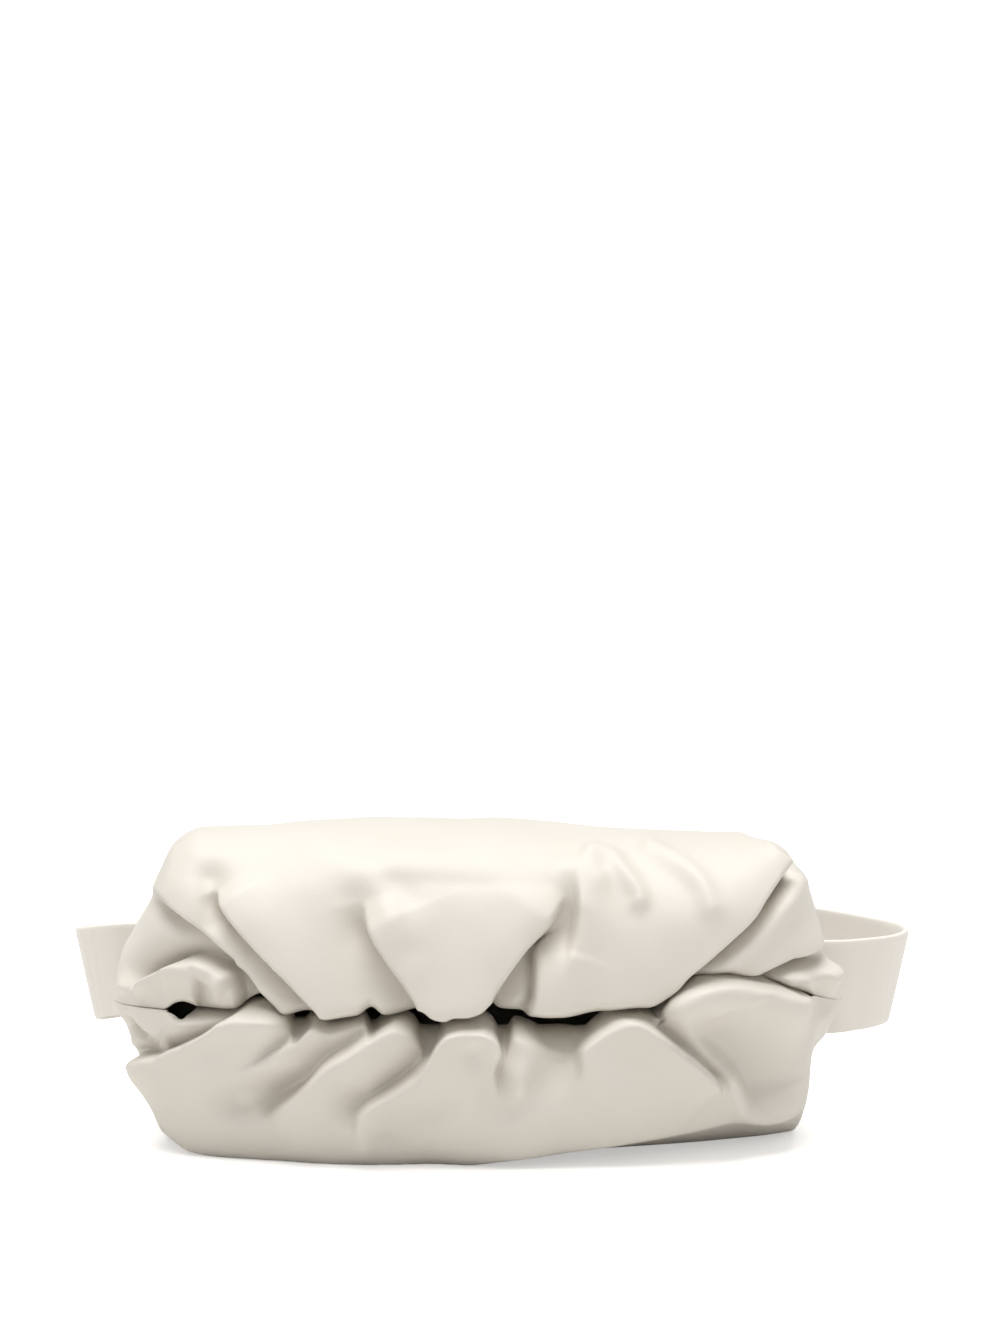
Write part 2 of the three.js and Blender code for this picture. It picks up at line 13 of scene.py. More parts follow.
import bpy
import numpy as np
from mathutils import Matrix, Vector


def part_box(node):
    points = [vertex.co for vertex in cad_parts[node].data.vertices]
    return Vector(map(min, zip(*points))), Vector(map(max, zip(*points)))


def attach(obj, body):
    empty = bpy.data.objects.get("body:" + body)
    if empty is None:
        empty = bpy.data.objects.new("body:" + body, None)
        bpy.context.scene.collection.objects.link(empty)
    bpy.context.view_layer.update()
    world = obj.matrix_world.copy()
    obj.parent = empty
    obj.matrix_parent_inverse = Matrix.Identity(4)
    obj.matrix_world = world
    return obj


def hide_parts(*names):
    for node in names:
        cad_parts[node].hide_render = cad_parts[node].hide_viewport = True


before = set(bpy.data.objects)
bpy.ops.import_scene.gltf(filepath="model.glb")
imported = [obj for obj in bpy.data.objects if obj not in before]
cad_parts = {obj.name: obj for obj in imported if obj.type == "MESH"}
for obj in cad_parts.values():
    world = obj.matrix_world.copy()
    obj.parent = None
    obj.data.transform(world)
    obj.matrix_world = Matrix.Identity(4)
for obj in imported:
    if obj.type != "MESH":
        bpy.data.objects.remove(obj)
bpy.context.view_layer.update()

log = logging.getLogger("belt_bag")

Array = np.ndarray
Point = tuple[float, float]
Place = tuple[float, float, float]
BeltRow = tuple[float, float, float, float]

MM = 0.001
# Least length that a vector is divided by.
TINY = 1e-12
# Least share of a fold's path over which the fold can start.
START_EASE = 0.001


def smoothstep(start: float, end: float, value: Array) -> Array:
    """Ease from 0 to 1 as a value goes from start to end: 3t^2 - 2t^3.

    Args:
        start: Value at which the result leaves 0.
        end: Value at which it reaches 1.
        value: Values to ease.

    Returns:
        Eased shares, from 0 to 1.
    """
    t = np.clip((value - start) / (end - start), 0.0, 1.0)
    return t * t * (3.0 - 2.0 * t)


def mix(a: Array | float, b: Array | float, share: Array | float) -> Array:
    """Straight blend from a to b."""
    return a + (b - a) * share


def curve_at(points: Sequence[Point], x: Array) -> Array:
    """Cubic through points that never swings past them.

    Each point's slope is the harmonic mean of the slopes beside it, or 0 at a peak or a dip.

    Args:
        points: Places and values, with the places in rising order.
        x: Places to work the curve out at.

    Returns:
        Values at those places; past the end points, their values.
    """
    place, value = np.asarray(points, float).T
    slope = np.diff(value) / np.diff(place)
    before = np.concatenate([slope[:1], slope])
    after = np.concatenate([slope, slope[-1:]])
    bent = before * after > 0
    tangent = np.where(bent, 2 * before * after / np.where(bent, before + after, 1.0), 0.0)
    i = np.clip(np.searchsorted(place, x, side="right") - 1, 0, len(place) - 2)
    span = place[i + 1] - place[i]
    t = np.clip((x - place[i]) / span, 0.0, 1.0)
    rise = value[i] + t * t * (3 - 2 * t) * (value[i + 1] - value[i])
    return rise + span * (t * (1 - t) ** 2 * tangent[i] - t * t * (1 - t) * tangent[i + 1])


def spline(points: Array, samples: int) -> Array:
    """Points along a Catmull-Rom curve: a cubic between each two points, with slopes from their neighbours.

    Args:
        points: Points that the curve goes through, one a row.
        samples: Number of points to return.

    Returns:
        Points spaced evenly in the curve's parameter, one a row.
    """
    t = np.linspace(0, len(points) - 1, samples)
    i = np.minimum(t.astype(int), len(points) - 2)
    w = (t - i)[:, None]
    p0, p1 = points[np.maximum(i - 1, 0)], points[i]
    p2, p3 = points[i + 1], points[np.minimum(i + 2, len(points) - 1)]
    v0, v1 = (p2 - p0) / 2, (p3 - p1) / 2
    return (2 * p1 - 2 * p2 + v0 + v1) * w**3 + (3 * p2 - 3 * p1 - 2 * v0 - v1) * w**2 + v0 * w + p1


def bell(value: Array) -> Array:
    """Bell curve: 1 at 0, dying away to both sides."""
    return np.exp(-(value**2))


def signed_power(value: Array, power: float) -> Array:
    """Power of each value's size, with the value's own sign."""
    return np.sign(value) * np.abs(value) ** power


def unit(vectors: Array) -> Array:
    """Vectors along the last axis scaled to length 1."""
    return vectors / np.maximum(np.linalg.norm(vectors, axis=-1, keepdims=True), TINY)


def eased(grid: Array, passes: int) -> Array:
    """Grid with its inner points blended with their neighbours, a quarter from each side, both ways.

    Args:
        grid: Values or points, as columns and rows.
        passes: How many times the blend is made.

    Returns:
        The smoother grid, with its edges as they were.
    """
    grid = grid.copy()
    for _ in range(passes):
        grid[1:-1] = (grid[:-2] + 2 * grid[1:-1] + grid[2:]) / 4
        grid[:, 1:-1] = (grid[:, :-2] + 2 * grid[:, 1:-1] + grid[:, 2:]) / 4
    return grid


def lowest_near(grid: Array, reach: int) -> Array:
    """Smallest value of a grid within a number of columns and rows of each place.

    Args:
        grid: Values, as columns and rows.
        reach: Columns and rows to look at on each side.

    Returns:
        The smallest values.
    """
    window = (2 * reach + 1, 2 * reach + 1)
    padded = np.pad(grid, reach, mode="edge")
    return np.lib.stride_tricks.sliding_window_view(padded, window).min((-2, -1))


def srgb(code: str) -> tuple[float, float, float, float]:
    """Linear colour of an sRGB hex code, by the formula of the sRGB standard.

    Args:
        code: Hex code such as "e6e1d5".

    Returns:
        Linear red, green and blue, and an alpha of 1.
    """
    parts = np.array([int(code[k : k + 2], 16) for k in (0, 2, 4)]) / 255.0
    linear = np.where(parts <= 0.04045, parts / 12.92, ((parts + 0.055) / 1.055) ** 2.4)
    return (*map(float, linear), 1.0)


def add_node(
    tree: bpy.types.NodeTree,
    kind: str,
    settings: dict[str, object] | None = None,
    inputs: dict[str | int, object] | None = None,
) -> bpy.types.Node:
    """Add a node with its settings and links.

    Args:
        tree: Node tree that gets the node.
        kind: Blender's name for the kind of node.
        settings: Attributes of the node.
        inputs: Values for its sockets, or the sockets to link to them.

    Returns:
        The new node.
    """
    node = tree.nodes.new(kind)
    for name, value in (settings or {}).items():
        setattr(node, name, value)
    for name, value in (inputs or {}).items():
        if isinstance(value, bpy.types.NodeSocket):
            tree.links.new(value, node.inputs[name])
        else:
            node.inputs[name].default_value = value
    return node


def make_piece(
    name: str, vertices: Array, faces: Sequence[Array], offset: Array, leather: bpy.types.Material
) -> bpy.types.Object:
    """Put a worked-out shape into a smooth-shaded mesh object at the origin.

    Args:
        name: Name of the piece.
        vertices: Points in millimetres in the pouch's frame, one a row.
        faces: Arrays of corner indices, each for faces with one number of corners.
        offset: Place of the pouch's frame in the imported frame, in millimetres.
        leather: Material of the piece.

    Returns:
        The new object.
    """
    mesh = bpy.data.meshes.new(name)
    corners = np.concatenate([part.reshape(-1) for part in faces])
    sizes = np.concatenate([np.full(len(part), part.shape[1]) for part in faces])
    mesh.vertices.add(len(vertices))
    mesh.vertices.foreach_set("co", ((vertices + offset) * MM).astype(np.float32).ravel())
    mesh.loops.add(len(corners))
    mesh.loops.foreach_set("vertex_index", corners.astype(np.int32))
    mesh.polygons.add(len(sizes))
    mesh.polygons.foreach_set("loop_start", (np.cumsum(sizes) - sizes).astype(np.int32))
    mesh.polygons.foreach_set("loop_total", sizes.astype(np.int32))
    mesh.polygons.foreach_set("use_smooth", np.ones(len(sizes), bool))
    mesh.update(calc_edges=True)
    mesh.validate()
    mesh.materials.append(leather)
    piece = bpy.data.objects.new(name, mesh)
    bpy.context.scene.collection.objects.link(piece)
    return piece


def grid_quads(index: Array, flipped: bool) -> Array:
    """Quads of a grid of vertex numbers, wound the other way round if flipped."""
    quads = np.stack([index[:-1, :-1], index[1:, :-1], index[1:, 1:], index[:-1, 1:]], -1).reshape(-1, 4)
    return quads[:, ::-1] if flipped else quads


def rim_triangles(fine: Array, coarse: Array, flipped: bool) -> Array:
    """Triangles of a strip between an edge of vertices and one with half as many.

    Args:
        fine: Vertex numbers along the outer edge; an odd number of them.
        coarse: Vertex numbers along the inner edge, one for every second outer one.
        flipped: Whether the strip is wound the other way round.

    Returns:
        Triangles, one a row.
    """
    o0, o1, o2 = fine[0:-2:2], fine[1:-1:2], fine[2::2]
    a, b = coarse[:-1], coarse[1:]
    strip = np.concatenate([np.stack(tri, -1) for tri in ((o1, o0, a), (o1, a, b), (o2, o1, b))])
    return strip[:, ::-1] if flipped else strip


def shell_faces(columns: int, rows: int, flipped: bool) -> list[Array]:
    """Faces of a closed shell: a fine outer grid, an inner grid with every second point, and four rims.

    Args:
        columns: Outer columns; an odd number.
        rows: Outer rows; an odd number.
        flipped: Whether the faces are wound the other way round.

    Returns:
        Arrays of quads and triangles over the outer grid's vertices followed by the inner grid's.
    """
    outer = np.arange(columns * rows).reshape(columns, rows)
    half = ((columns + 1) // 2, (rows + 1) // 2)
    inner = outer.size + np.arange(half[0] * half[1]).reshape(half)
    return [
        grid_quads(outer, flipped),
        grid_quads(inner, not flipped),
        rim_triangles(outer[:, 0], inner[:, 0], flipped),
        rim_triangles(outer[:, -1], inner[:, -1], not flipped),
        rim_triangles(outer[0], inner[0], not flipped),
        rim_triangles(outer[-1], inner[-1], flipped),
    ]


class PanelSide(Enum):
    """Which of the pouch's two panels, as the direction from the mouth to its far edge."""

    UPPER = 1
    LOWER = -1


class BeltSide(Enum):
    """Which half of the belt, as the direction along X from the middle."""

    LEFT = -1
    RIGHT = 1


@dataclass(frozen=True)
class NappaLeather:
    """Drum-dyed nappa, finished with a thin matt coat: soft light with a faint pebble and no mirror shine.

    Each noise is given as its detail and roughness, and each size is the width of one cell or wrinkle.
    """

    name: str = "nappa_leather_off_white"
    lit: str = "dcd7cd"
    deep: str = "d2ccc2"
    roughness: float = 0.52
    gloss_drift: float = 0.06
    ior: float = 1.47
    drift_mm: float = 55.56
    drift_noise: Point = (3.0, 0.55)
    grain_mm: float = 1.1
    grain_depth_mm: float = 0.05
    grain_strength: float = 0.5
    grain_smoothness: float = 0.6
    wrinkle_mm: float = 7.0
    wrinkle_depth_mm: float = 0.22
    wrinkle_strength: float = 0.6
    wrinkle_noise: Point = (4.0, 0.5)

    def material(self) -> bpy.types.Material:
        """Build the leather: a pebble of small cells, faint wrinkles, and a slow drift of colour.

        Returns:
            The material.
        """
        material = bpy.data.materials.new(self.name)
        material.use_nodes = True
        tree = material.node_tree
        tree.nodes.clear()
        place = add_node(tree, "ShaderNodeTexCoord").outputs["Object"]
        drift, wrinkle = (
            add_node(
                tree,
                "ShaderNodeTexNoise",
                inputs={"Vector": place, "Scale": 1 / (size * MM), "Detail": detail, "Roughness": rough},
            )
            for size, detail, rough in (
                (self.drift_mm, *self.drift_noise),
                (self.wrinkle_mm, *self.wrinkle_noise),
            )
        )
        colour = add_node(
            tree,
            "ShaderNodeMix",
            {"data_type": "RGBA"},
            {0: drift.outputs["Fac"], 6: srgb(self.deep), 7: srgb(self.lit)},
        )
        pebble = add_node(
            tree,
            "ShaderNodeTexVoronoi",
            {"feature": "SMOOTH_F1"},
            {"Vector": place, "Scale": 1 / (self.grain_mm * MM), "Smoothness": self.grain_smoothness},
        )
        wrinkled = add_node(
            tree,
            "ShaderNodeBump",
            inputs={
                "Height": wrinkle.outputs["Fac"],
                "Distance": self.wrinkle_depth_mm * MM,
                "Strength": self.wrinkle_strength,
            },
        )
        grained = add_node(
            tree,
            "ShaderNodeBump",
            {"invert": True},
            {
                "Height": pebble.outputs["Distance"],
                "Distance": self.grain_depth_mm * MM,
                "Strength": self.grain_strength,
                "Normal": wrinkled.outputs["Normal"],
            },
        )
        smoothest, roughest = self.roughness - self.gloss_drift, self.roughness + self.gloss_drift
        gloss = add_node(
            tree,
            "ShaderNodeMapRange",
            inputs={"Value": drift.outputs["Fac"], "To Min": smoothest, "To Max": roughest},
        )
        shader = add_node(
            tree,
            "ShaderNodeBsdfPrincipled",
            inputs={
                "Base Color": colour.outputs[2],
                "Roughness": gloss.outputs["Result"],
                "IOR": self.ior,
                "Normal": grained.outputs["Normal"],
            },
        )
        add_node(tree, "ShaderNodeOutputMaterial", inputs={"Surface": shader.outputs["BSDF"]})
        return material


POUCH_LEATHER = NappaLeather()
# The belt's leather is painted a little paler than the pouch's, a painted highlight standing in for the
# brighter light that falls on the belt, and its wrinkles are shallower.
BELT_LEATHER = NappaLeather("strap_leather_painted_paler", lit="e9e4dc", deep="e2dcd4", wrinkle_depth_mm=0.1)


@dataclass(frozen=True)
class Fold:
    """Edge of a sheet that lies over its neighbour, along a path in the front view.

    Places in the front view are x, and the height at which a viewer a little above level sees them.

    Attributes:
        over: Side of the path that lies on top, 1 for the right and -1 for the left.
        step: Rise of the upper sheet, which dies away over the distance soft.
        dip: Depth of the lower sheet, which dies away over the distance spread.
        path: Points that the edge goes through.
        fade: Share of the path from which the fold dies away.
        edge: Half the width of the slope between the sheets.
        tuck: How far the edge leans over the lower sheet.
        roll: Depth of the edge's rounding.
        begin: Share of the path by which the fold is full.
    """

    name: str
    over: int
    step: float
    soft: float
    dip: float
    spread: float
    path: tuple[Point, ...]
    fade: float
    edge: float = 1.3
    tuck: float = 2.2
    roll: float = 1.8
    begin: float = START_EASE


@dataclass(frozen=True)
class Swell:
    """Rounded ridge, or a dent where raised is negative, along a path in the front view."""

    name: str
    raised: float
    width: float
    path: tuple[Point, ...]


@dataclass(frozen=True)
class PouchSizes:
    """Sizes that both panels share, in millimetres in the pouch's frame, with angles in radians.

    At each x, the mouth line is the height of the mouth's middle, the slot line is its gap, and the lift line
    is how far the underside's front is lifted.
    """

    half_width: float = 157.5
    middle_y: float = 42.0
    back_depth: float = 60.0
    leather: float = 2.0
    seam_gap: float = 0.3
    seam_height: float = 62.0
    mouth_from: float = -134.0
    mouth_to: float = 146.0
    mouth_ease: float = 16.0
    lip_turn: float = 1.2
    lip_round: float = 3.6
    front_power: float = 2.0
    back_power: float = 3.0
    view_tilt: float = math.radians(12.0)
    view_foot: float = -10.0
    mouth_line: tuple[Point, ...] = (
        (-157.5, 62), (-140, 63.5), (-130, 64), (-100, 65), (-75, 63.5), (-58, 61.5), (0, 61), (54, 61),
        (70, 64.5), (84, 72.5), (95, 78), (106, 80.5), (114, 79.5), (128, 75.5), (143, 69), (157.5, 62),
    )
    slot_line: tuple[Point, ...] = (
        (-157.5, 0.3), (-134, 0.3), (-129, 5), (-120, 7.5), (-104, 5.5), (-80, 5), (60, 5), (78, 2.6),
        (110, 1.6), (136, 1.6), (146, 0.3), (157.5, 0.3),
    )
    lift_line: tuple[Point, ...] = (
        (-157.5, 14), (-140, 8), (-134, 6), (-122, 1), (-110, 0), (-5, 0), (10, 2), (35, 5), (70, 9),
        (95, 12), (110, 14), (125, 12), (134, 13), (141, 16), (157.5, 22),
    )

    def plan_share(self, x: Array, power: float) -> Array:
        """Share of the full depth at x: a superellipse in plan."""
        return np.maximum(0, 1 - (np.abs(x) / self.half_width) ** power) ** (1 / power)

    def mouth_open(self, x: Array) -> Array:
        """1 along the mouth and 0 along the side seams."""
        left = smoothstep(self.mouth_from, self.mouth_from + self.mouth_ease, x)
        return left * (1 - smoothstep(self.mouth_to - self.mouth_ease, self.mouth_to, x))

    def back_of_pouch(self, x: Array) -> Array:
        """Y of the pouch's back at x."""
        return self.middle_y + self.back_depth * self.plan_share(x, self.back_power)

    def view_height(self, points: Array) -> Array:
        """Height at which the tilted front view shows each point."""
        up = points[..., 2] * math.cos(self.view_tilt)
        return up + (points[..., 1] - self.view_foot) * math.sin(self.view_tilt)


@dataclass(frozen=True)
class PanelEases:
    """Where the forms of a panel start and end: turns in radians, distances in millimetres.

    Attributes:
        mouth: Turns over which the mouth's gap narrows to the seam's.
        level: Turns from the mouth's height to the back seam's.
        lip: Turns from the lip's reach to the front's.
        drawn: Turns over which the drawn lip ends.
        notch: Turns over which a notch in the lower lip deepens.
        back: Turns over which the rows thin out to the share back_rows.
        rolled: Turns over which the folds grow from rolled_share.
        seam: Turns over which the folds grow from a closed seam.
        upright: Turns over which the folds start to push up as well as out.
        ends: Distances from the bag's ends between which the folds end.
        free_gap: Gap of the mouth from which its lips fold freely.
        thin: Distances from the bag's ends over which the wall grows from thin_share.
        lift: Distances behind the front over which the underside's lift ends.
        lift_round: Rounding of the lifted edge, as a share of the lift.
    """

    mouth: Point = (0.6, 1.5)
    level: Point = (0.9, 2.2)
    lip: Point = (-0.5, 0.45)
    drawn: Point = (-0.15, 0.4)
    notch: Point = (-1.15, -0.5)
    back: Point = (0.9, 2.0)
    back_rows: float = 0.3
    rolled: Point = (-0.9, -0.1)
    rolled_share: float = 0.25
    seam: Point = (0.0, 0.25)
    upright: Point = (-0.3, 0.4)
    ends: Point = (7.0, 1.0)
    free_gap: float = 1.6
    thin: Point = (0.0, 7.0)
    thin_share: float = 0.1
    lift: Point = (6.0, 48.0)
    lift_round: float = 0.5


@dataclass
class PouchPanel:
    """One of the pouch's two leather panels, from its rolled lip round to the back seam."""

    sizes: PouchSizes
    side: PanelSide
    node: str
    far_line: tuple[Point, ...]
    folds: tuple[Fold, ...]
    swells: tuple[Swell, ...]
    lip_line: tuple[Point, ...]
    lip_rise: float
    reach: float
    lip_reach: float
    rounding: float
    folds_end: Point
    flat: Point
    wave_seed: int
    wave_lengths: Point
    wave_share: float
    waves: int = 14
    columns: int = 461
    rows: int = 165
    column_bunching: float = 0.4
    end_margin: float = 0.02
    turn_samples: int = 900
    turn_power: float = 2.2
    least_step: float = 1e-4
    probe: float = 0.4
    probe_turn: float = 0.02
    path_samples: int = 29
    path_blend: float = 6.0
    shoulder_width: float = 1.6
    lean_width: float = 2.2
    lining_reach: int = 8
    lining_passes: int = 4
    lining_gap: float = 0.5
    eases: PanelEases = PanelEases()

    def smooth_points(self, x: Array, turn: Array) -> Array:
        """Smooth form before it is gathered: three superellipse quarters, lip, front and back.

        y = middle + depth |cos turn|^p and z = level + side (rise + (full - rise) |sin turn|^p), with p from
        how square the section is. A negative turn is the lip, which rolls back into the pouch.

        Args:
            x: Places across the bag.
            turn: Angles round the pouch, from its most forward line (0) to the back seam (pi).

        Returns:
            Points, with their coordinates along the last axis.
        """
        s = self.sizes
        opened = s.mouth_open(x)
        power = 2 / np.where(turn < 0, s.lip_round, self.rounding)
        along = np.abs(np.cos(turn)) ** power
        across = np.abs(np.sin(turn)) ** power
        mouth = 1 - smoothstep(*self.eases.mouth, turn)
        level = mix(curve_at(s.mouth_line, x), s.seam_height, smoothstep(*self.eases.level, turn))
        gap = mix(s.seam_gap, curve_at(s.slot_line, x), mouth) / 2
        full = np.maximum(gap, self.side.value * (curve_at(self.far_line, x) - level))
        rise = np.minimum(self.lip_rise * opened, full / 2) * mouth
        lip = opened * (1 - smoothstep(*self.eases.lip, turn))
        reach = mix(self.reach, self.lip_reach, lip) * s.plan_share(x, s.front_power)
        depth = np.where(turn < np.pi / 2, -reach, s.back_depth * s.plan_share(x, s.back_power))
        out = np.where(turn < 0, gap + rise * (1 - across), gap + rise + (full - gap - rise) * across)
        return np.stack([x, s.middle_y + depth * along, level + self.side.value * out], -1)

    def lip_shift(self, x: Array, turn: Array) -> Array:
        """How far the gathers draw the lip up or down; it dies away up the front.

        Behind a notch in the lower lip, the leather rises again as the pocket's back.

        Args:
            x: Places across the bag.
            turn: Angles round the pouch.

        Returns:
            Shifts in height.
        """
        drawn = curve_at(self.lip_line, x) * self.sizes.mouth_open(x)
        if self.side is PanelSide.LOWER:
            drawn = np.where(drawn > 0, drawn * smoothstep(*self.eases.notch, turn), drawn)
        return self.side.value * drawn * (1 - smoothstep(*self.eases.drawn, turn))

    def row_turns(self, x: Array) -> Array:
        """Turns of each column's rows, spaced evenly along its section and further apart round the back.

        Args:
            x: Places of the columns, as a column of numbers.

        Returns:
            Turns, a row for each column.
        """
        rim = -self.sizes.lip_turn * self.sizes.mouth_open(x)
        s = np.linspace(-1, 1, self.turn_samples)[None, :]
        turns = np.abs(s) ** self.turn_power * np.where(s < 0, rim, np.pi)
        points = self.smooth_points(np.broadcast_to(x, turns.shape), turns)
        steps = np.linalg.norm(np.diff(points, axis=1), axis=-1)
        density = mix(1.0, self.eases.back_rows, smoothstep(*self.eases.back, turns[:, 1:]))
        steps = steps * density + self.least_step
        lengths = np.concatenate([np.zeros_like(x), np.cumsum(steps, axis=1)], 1)
        share = np.linspace(0, 1, self.rows)
        return np.stack([np.interp(share * run[-1], run, turn) for run, turn in zip(lengths, turns)])

    def place_on_path(self, path: tuple[Point, ...], x: Array, h: Array) -> tuple[Array, Array, Array]:
        """Nearest place of a smooth path to each point of the front view.

        Args:
            path: Points that the path goes through.
            x: Places across the bag.
            h: Heights in the front view.

        Returns:
            Share of the path's length, distance to the right of it (negative on its left), and the direction
            to its right as (x, h) along the last axis.
        """
        knots = spline(np.asarray(path, float), self.path_samples)
        best = np.full(x.shape, np.inf)
        along, off = np.zeros(x.shape), np.zeros(x.shape)
        right = np.zeros((*x.shape, 2))
        for k, (a, d) in enumerate(zip(knots[:-1], np.diff(knots, axis=0))):
            t = np.clip(((x - a[0]) * d[0] + (h - a[1]) * d[1]) / (d @ d), 0, 1)
            ex, eh = x - a[0] - t * d[0], h - a[1] - t * d[1]
            near = np.hypot(ex, eh)
            closer = near < best
            best = np.where(closer, near, best)
            along = np.where(closer, (k + t) / (len(knots) - 1), along)
            off = np.where(closer, np.where(ex * d[1] - eh * d[0] >= 0, near, -near), off)
            right += bell(near / self.path_blend)[..., None] * np.array([d[1], -d[0]])
        return along, off, unit(right)

    def unevenness(self, x: Array, h: Array) -> Array:
        """Slight waves of hand-gathered leather: sines of many lengths and directions added together.

        Args:
            x: Places across the bag.
            h: Heights in the front view.

        Returns:
            Height square to the form.
        """
        chance = np.random.default_rng(self.wave_seed)
        total = np.zeros(x.shape)
        for length in np.geomspace(*self.wave_lengths, self.waves):
            angle, phase = chance.uniform(0, 2 * np.pi, 2)
            way = x * np.cos(angle) + h * np.sin(angle)
            total += self.wave_share * length * np.sin(2 * np.pi * way / length + phase)
        return total

    def gathers(self, x: Array, h: Array) -> tuple[Array, Array]:
        """What the folds and swells add at each point of the front view.

        Across a fold, the sheet on the over side rises to its step and the one under it sinks by its dip,
        each dying away as a bell curve, and the edge between them leans over the lower sheet by its tuck.

        Args:
            x: Places across the bag.
            h: Heights in the front view.

        Returns:
            Height square to the form, and shift in the front view as (x, h) along the last axis.
        """
        height = self.unevenness(x, h)
        shift = np.zeros((*x.shape, 2))
        for fold in self.folds:
            along, off, right = self.place_on_path(fold.path, x, h)
            off = off * fold.over
            fade = smoothstep(0, fold.begin, along + START_EASE) * (1 - smoothstep(fold.fade, 1, along))
            rounded = np.clip(1 - off / (self.shoulder_width * fold.roll), 0, 1)
            shoulder = 1 - np.sqrt(1 - rounded**2)
            raised = fold.step * bell(off / fold.soft) - fold.roll * shoulder
            sunk = -fold.dip * bell(off / fold.spread)
            height += mix(sunk, raised, smoothstep(-fold.edge, fold.edge, off)) * fade
            lean = fold.tuck * fade * bell((off - fold.edge) / (self.lean_width * fold.edge))
            shift -= fold.over * lean[..., None] * right
        for swell in self.swells:
            _, off, _ = self.place_on_path(swell.path, x, h)
            height += swell.raised * bell(off / swell.width)
        return height, shift

    def skins(self) -> tuple[Array, Array]:
        """Outer skin of the gathered panel, and its inner side at every second column and row.

        Returns:
            Outer and inner points, as grids of columns and rows.
        """
        s, ease = self.sizes, self.eases
        u = np.linspace(-1, 1, self.columns)
        bunched = (1 - self.column_bunching) * u + self.column_bunching * np.sin(np.pi * u / 2)
        x = (s.half_width - self.end_margin) * bunched[:, None]
        turn = self.row_turns(x)
        x = np.broadcast_to(x, turn.shape)
        smooth = self.smooth_points(x, turn)
        from_end = s.half_width - np.abs(x)
        near = np.minimum(self.probe, from_end / 2)
        across = self.smooth_points(x + near, turn) - self.smooth_points(x - near, turn)
        up = self.smooth_points(x, turn + self.probe_turn) - self.smooth_points(x, turn - self.probe_turn)
        normal = unit(np.cross(across, up)) * self.side.value
        smooth[..., 2] += self.lip_shift(x, turn)
        height, shift = self.gathers(x, s.view_height(smooth))
        shown = 1 - smoothstep(*self.folds_end, turn)
        rolled = mix(ease.rolled_share, 1.0, smoothstep(*ease.rolled, turn))
        ends = 1 - smoothstep(s.half_width - ease.ends[0], s.half_width - ease.ends[1], np.abs(x))
        free = np.minimum(1, curve_at(s.slot_line, x) / ease.free_gap)
        seam = mix(smoothstep(*ease.seam, turn), 1.0, free)
        weight = shown * rolled * ends * seam
        height = height * weight
        sideways = np.stack([shift[..., 0], np.zeros(x.shape), shift[..., 1]], -1) * weight[..., None]
        level = np.stack([np.ones(x.shape), np.ones(x.shape), smoothstep(*ease.upright, turn)], -1)
        push = unit(normal * level)
        outer = eased(smooth + push * height[..., None] + sideways, 1)
        lining = eased(lowest_near(height, self.lining_reach), self.lining_passes) - self.lining_gap
        thin = mix(ease.thin_share, 1.0, smoothstep(*ease.thin, from_end))[..., None]
        inner = (smooth + (push * lining[..., None] - s.leather * normal) * thin)[::2, ::2]
        if self.side is PanelSide.LOWER:
            outer[..., 2] = self.above_underside(outer, 0.0)
            inner[..., 2] = self.above_underside(inner, s.leather)
        return outer, inner

    def above_underside(self, points: Array, wall: float) -> Array:
        """Heights kept above the surface, and above the lifted part of the underside.

        Args:
            points: Points of a skin.
            wall: Height of this skin above the underside.

        Returns:
            The points' heights.
        """
        x, y, z = np.moveaxis(points, -1, 0)
        behind = y - self.sizes.middle_y + self.reach * self.sizes.plan_share(x, self.sizes.front_power)
        lift = curve_at(self.sizes.lift_line, x) * (1 - smoothstep(*self.eases.lift, behind))
        under = lift + wall
        return (z + under + np.hypot(z - under, self.eases.lift_round * lift)) / 2

    def build(self, offset: Array, leather: bpy.types.Material) -> bpy.types.Object:
        """Make the panel and hand it to the frame.

        Args:
            offset: Place of the pouch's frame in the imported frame.
            leather: Material of the panel.

        Returns:
            The panel.
        """
        outer, inner = self.skins()
        faces = shell_faces(self.columns, self.rows, self.side is PanelSide.LOWER)
        vertices = np.concatenate([outer.reshape(-1, 3), inner.reshape(-1, 3)])
        piece = make_piece(f"{self.node}_leather", vertices, faces, offset, leather)
        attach(piece, "root")
        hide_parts(self.node)
        return piece


